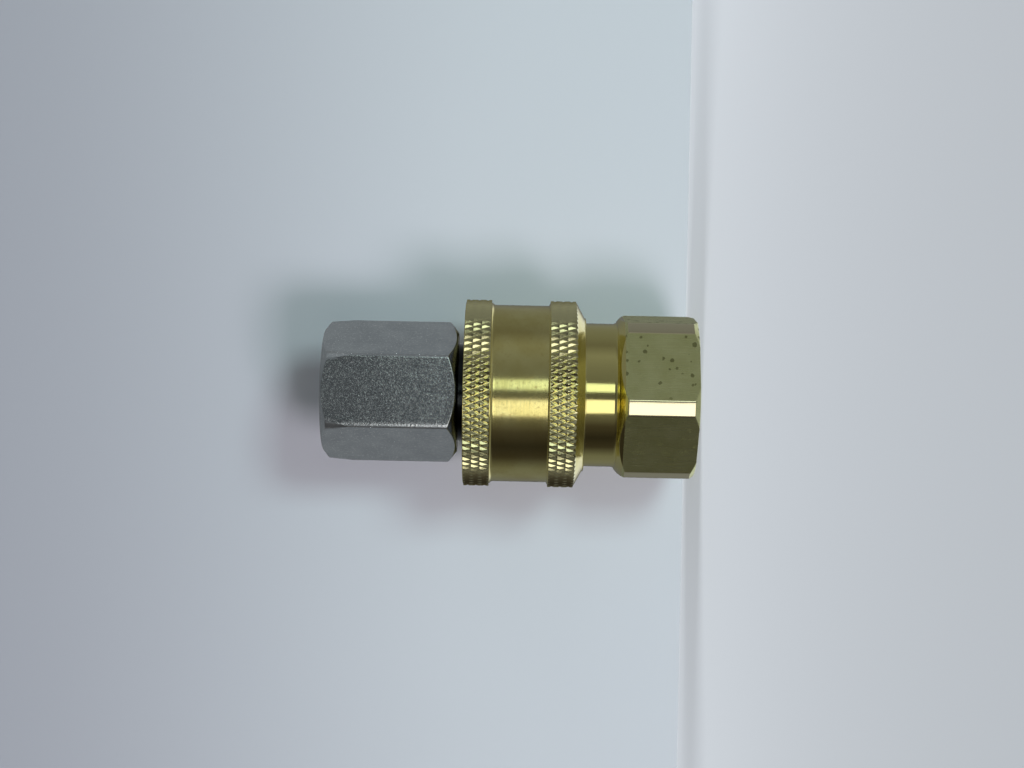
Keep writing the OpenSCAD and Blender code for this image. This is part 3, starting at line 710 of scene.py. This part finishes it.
def sleeve_strip():
    """One tooth's width of the whole sleeve, to be repeated round the axis."""
    mesh = bmesh.new()
    tooth = math.tau / KNURL_TEETH

    def place(across, r, z):
        return (r * math.cos(across * tooth), r * math.sin(across * tooth), z)

    def skin(first, outline, last):
        """Plain turned surface along an outline, joined to rows of vertices at its two ends."""
        count = len(first)
        rows = [first]
        for r, z in outline:
            rows.append([mesh.verts.new(place(i / (count - 1), r, z)) for i in range(count)])
        rows.append(last)
        for here, there in zip(rows, rows[1:]):
            for i in range(count - 1):
                mesh.faces.new((here[i], here[i + 1], there[i + 1], there[i]))

    rear_low, rear_high = knurl_strip(mesh, place, REAR_BAND_Z, BEVEL_SLOPE)
    front_low, front_high = knurl_strip(mesh, place, FRONT_BAND_Z, 0)
    rim = 0.12 * MM
    rear_end = REAR_BAND_Z + BAND_LEN
    turn_in = math.acos(1 - (CORE_R - GRIP_R) / GRIP_FILLET)
    fillet_z = FRONT_BAND_Z - GRIP_FILLET * math.sin(turn_in) - rim
    turns = [turn_in * i / FILLET_STEPS for i in range(FILLET_STEPS + 1)]
    fillet = [(GRIP_R + GRIP_FILLET * (1 - math.cos(turn)), fillet_z + GRIP_FILLET * math.sin(turn))
              for turn in turns]
    grip = eased([(CORE_R, rear_end), (CORE_R, rear_end + rim), (GRIP_R, rear_end + 2 * rim),
                  (GRIP_R, fillet_z - rim)], 0.08 * MM)
    skin(rear_high, grip + fillet + [(CORE_R, FRONT_BAND_Z)], front_low)
    ramp_end = LAND_R + RAMP_LEN * RAMP_SLOPE
    top, low = sleeve_high.z, sleeve_low.z
    skin(front_high, eased([(CORE_R, FRONT_BAND_Z + BAND_LEN), (CORE_R, top), (RECESS_R, top),
                            (RECESS_R, SHOULDER_Z), (ramp_end, SHOULDER_Z), (LAND_R, BALL_Z + 0.3 * MM),
                            (LAND_R, LAND_Z), (SKIRT_R, LAND_Z), (SKIRT_R, low), (LIP_R, low), (RIM_R, low),
                            (RIM_R, low + RIM_LEN), (CORE_R, low + (CORE_R - LIP_R) * BEVEL_SLOPE)],
                           0.1 * MM), rear_low)
    bmesh.ops.remove_doubles(mesh, verts=mesh.verts, dist=2e-7)
    data = bpy.data.meshes.new("sleeve_strip")
    mesh.to_mesh(data)
    mesh.free()
    return data


def sleeve_tree():
    """Geometry Nodes that repeat a strip round the axis, join the copies' edges and set their material."""
    tree = bpy.data.node_groups.new("repeat_round_axis", "GeometryNodeTree")
    tree.interface.new_socket("Strip", in_out="INPUT", socket_type="NodeSocketGeometry")
    tree.interface.new_socket("Teeth", in_out="INPUT", socket_type="NodeSocketInt")
    tree.interface.new_socket("Material", in_out="INPUT", socket_type="NodeSocketMaterial")
    tree.interface.new_socket("Sleeve", in_out="OUTPUT", socket_type="NodeSocketGeometry")
    given = tree.nodes.new("NodeGroupInput").outputs
    points = add(tree, "GeometryNodePoints", {"Count": given["Teeth"]})
    index = add(tree, "GeometryNodeInputIndex").outputs[0]
    turn = maths(tree, "DIVIDE", maths(tree, "MULTIPLY", index, math.tau), given["Teeth"])
    rotation = add(tree, "ShaderNodeCombineXYZ", {"Z": turn})
    copies = add(tree, "GeometryNodeInstanceOnPoints",
                 {"Points": points.outputs[0], "Instance": given["Strip"], "Rotation": rotation.outputs[0]})
    real = add(tree, "GeometryNodeRealizeInstances", {"Geometry": copies.outputs[0]})
    joined = add(tree, "GeometryNodeMergeByDistance", {"Geometry": real.outputs[0], "Distance": 5e-7})
    painted = add(tree, "GeometryNodeSetMaterial",
                  {"Geometry": joined.outputs[0], "Material": given["Material"]})
    result = tree.nodes.new("NodeGroupOutput")
    tree.links.new(painted.outputs[0], result.inputs[0])
    return tree


def grown(name, mesh, tree, values):
    """The plain mesh that a Geometry Nodes tree makes of a mesh, with its named inputs set."""
    seed = bpy.data.objects.new(name, mesh)
    bpy.context.scene.collection.objects.link(seed)
    growth = seed.modifiers.new("growth", "NODES")
    growth.node_group = tree
    for item in tree.interface.items_tree:
        if item.in_out == "INPUT" and item.name in values:
            growth[item.identifier] = values[item.name]
    graph = bpy.context.evaluated_depsgraph_get()
    result = bpy.data.meshes.new_from_object(seed.evaluated_get(graph), depsgraph=graph)
    seed.modifiers.remove(growth)
    bpy.data.objects.remove(seed)
    return result


def facing_out(mesh):
    """Turns every face of a closed mesh outwards."""
    work = bmesh.new()
    work.from_mesh(mesh)
    bmesh.ops.recalc_face_normals(work, faces=work.faces)
    work.to_mesh(mesh)
    work.free()
    return mesh


def turned_brass():
    """Turned and polished brass, with the tool's fine rings round it and a few rubbed marks. The knurl,
    which hands rub bright, is paler."""
    material, tree = new_tree("turned_brass")
    rings = grain(tree, 12, 3, (0.03, 0.03, 1))
    rubs = grain(tree, 2.2, 4)
    clouds = grain(tree, 0.25, 3)
    knurled = smooth_step(tree, from_axis(tree, place_on(tree)), CORE_R, CORE_R + 0.1 * MM)
    colour = mix(tree, smooth_step(tree, clouds, 0.35, 0.65), linear("#ebe29a"), linear("#e2d68a"))
    colour = mix(tree, smooth_step(tree, rubs, 0.55, 0.75, 0, 0.4), colour, linear("#d4b770"))
    colour = mix(tree, knurled, colour, linear("#f0ebb4"))
    rough = maths(tree, "ADD", smooth_step(tree, rings, 0.3, 0.7, 0.12, 0.18),
                  smooth_step(tree, rubs, 0.5, 0.75, 0, 0.06))
    surface(tree, colour, 1.0, rough, bump(tree, rings, 0.003 * MM, 0.5))
    return material


sleeve_brass = turned_brass()
sleeve_mesh = facing_out(grown("sleeve_seed", sleeve_strip(), sleeve_tree(),
                         {"Teeth": KNURL_TEETH, "Material": sleeve_brass}))
piece("knurled_sleeve", sleeve_mesh, "sleeve", ["sleeve"], sleeve_brass, 44)


# ---------------------------------------------------------------------------------------------------
# Inner parts, which keep the exact solids: steel springs, rings and balls, turned brass valves with their
# guides, and the seals. The valves show through the two pipe ports, and the balls and the keeper ring
# when the sleeve is drawn back.
def drawn_steel(name, light, dark, rough_low, rough_high, scale, stretch):
    """Bright steel with fine marks: drawn along a wire, or ground every way on a ball."""
    material, tree = new_tree(name)
    marks = grain(tree, scale, 3, stretch)
    colour = mix(tree, smooth_step(tree, marks, 0.35, 0.65), linear(light), linear(dark))
    rough = smooth_step(tree, marks, 0.3, 0.7, rough_low, rough_high)
    surface(tree, colour, 1.0, rough, bump(tree, marks, 0.002 * MM, 0.4))
    return material


def valve_brass():
    """Turned brass with the tool's fine rings round the axis."""
    material, tree = new_tree("valve_brass")
    rings = grain(tree, 11, 3, (0.03, 0.03, 1))
    clouds = grain(tree, 0.6, 3)
    colour = mix(tree, smooth_step(tree, clouds, 0.3, 0.7), linear("#e6d890"), linear("#cdb868"))
    rough = smooth_step(tree, rings, 0.3, 0.7, 0.16, 0.26)
    surface(tree, colour, 1.0, rough, bump(tree, rings, 0.004 * MM, 0.5))
    return material


def moulded(name, light, dark, rough_low, rough_high, scale):
    """Moulded rubber or plastic with a faint uneven sheen."""
    material, tree = new_tree(name)
    mottle = grain(tree, scale, 4)
    colour = mix(tree, smooth_step(tree, mottle, 0.3, 0.7), linear(light), linear(dark))
    rough = smooth_step(tree, mottle, 0.3, 0.7, rough_low, rough_high)
    surface(tree, colour, 0.0, rough, bump(tree, mottle, 0.01 * MM, 0.3))
    return material


wire = drawn_steel("spring_wire", "#c9ccce", "#a3a7aa", 0.16, 0.26, 6, (1, 1, 0.2))
ground = drawn_steel("ground_steel", "#dcdfe0", "#c6cacc", 0.05, 0.10, 8, (1, 1, 1))
valves = valve_brass()
rubber = moulded("nitrile_rubber", "#1b1b1c", "#101011", 0.42, 0.55, 4)
ptfe = moulded("ptfe", "#ece9e1", "#ddd9cf", 0.35, 0.45, 2)
inner = {wire: ["socket_valve_spring", "plug_valve_spring", "sleeve_keeper_ring",
                "socket_snap_ring", "plug_snap_ring"],
         ground: [f"locking_ball_{i + 1}" for i in range(BALL_COUNT)],
         valves: ["socket_valve", "socket_valve_guide", "plug_valve", "plug_valve_guide"],
         rubber: ["nose_o_ring", "socket_valve_seal", "plug_valve_seal"],
         ptfe: ["nose_backup_ring"]}
for material, names in inner.items():
    for name in names:
        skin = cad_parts[name].data.materials
        skin.clear()
        skin.append(material)


# ---------------------------------------------------------------------------------------------------
# Sleeve spring: round spring wire, coiled with a closed turn at each end. It stands on the barrel's step,
# and the sleeve's land presses it down as the sleeve is drawn back.
SPRING_WIRE = 1.0 * MM
SPRING_TURNS = 4
SPRING_CLOSED = 0.8
SPRING_STEPS = 48
SPRING_SIDES = 14


def coil(name, mean_r, low, high):
    """A closed wire wound round the axis between two heights."""
    start = low + SPRING_WIRE / 2
    rise = high - low - SPRING_WIRE
    pitch = (rise - 2 * SPRING_CLOSED * SPRING_WIRE) / (SPRING_TURNS - 2 * SPRING_CLOSED)
    around = [math.tau * i / SPRING_SIDES for i in range(SPRING_SIDES)]
    mesh = bmesh.new()
    rings = []
    for step in range(SPRING_TURNS * SPRING_STEPS + 1):
        turn = step / SPRING_STEPS
        closed = min(turn, SPRING_CLOSED) + max(turn - (SPRING_TURNS - SPRING_CLOSED), 0)
        z = start + closed * SPRING_WIRE + (turn - closed) * pitch
        x, y = math.cos(turn * math.tau), math.sin(turn * math.tau)
        ring = [(mean_r + SPRING_WIRE / 2 * math.cos(a), z + SPRING_WIRE / 2 * math.sin(a)) for a in around]
        rings.append([mesh.verts.new((r * x, r * y, height)) for r, height in ring])
    for here, there in zip(rings, rings[1:]):
        for i in range(SPRING_SIDES):
            j = (i + 1) % SPRING_SIDES
            mesh.faces.new((here[i], here[j], there[j], there[i]))
    mesh.faces.new(rings[0])
    mesh.faces.new(rings[-1])
    bmesh.ops.recalc_face_normals(mesh, faces=mesh.faces)
    data = bpy.data.meshes.new(name)
    mesh.to_mesh(data)
    mesh.free()
    return data


spring_low, spring_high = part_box("sleeve_spring")
spring_mesh = coil("sleeve_spring_coil", spring_high.x - SPRING_WIRE / 2, spring_low.z, spring_high.z)
spring = piece("sleeve_spring_coil", spring_mesh, "socket", ["sleeve_spring"], wire, 50)
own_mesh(spring)
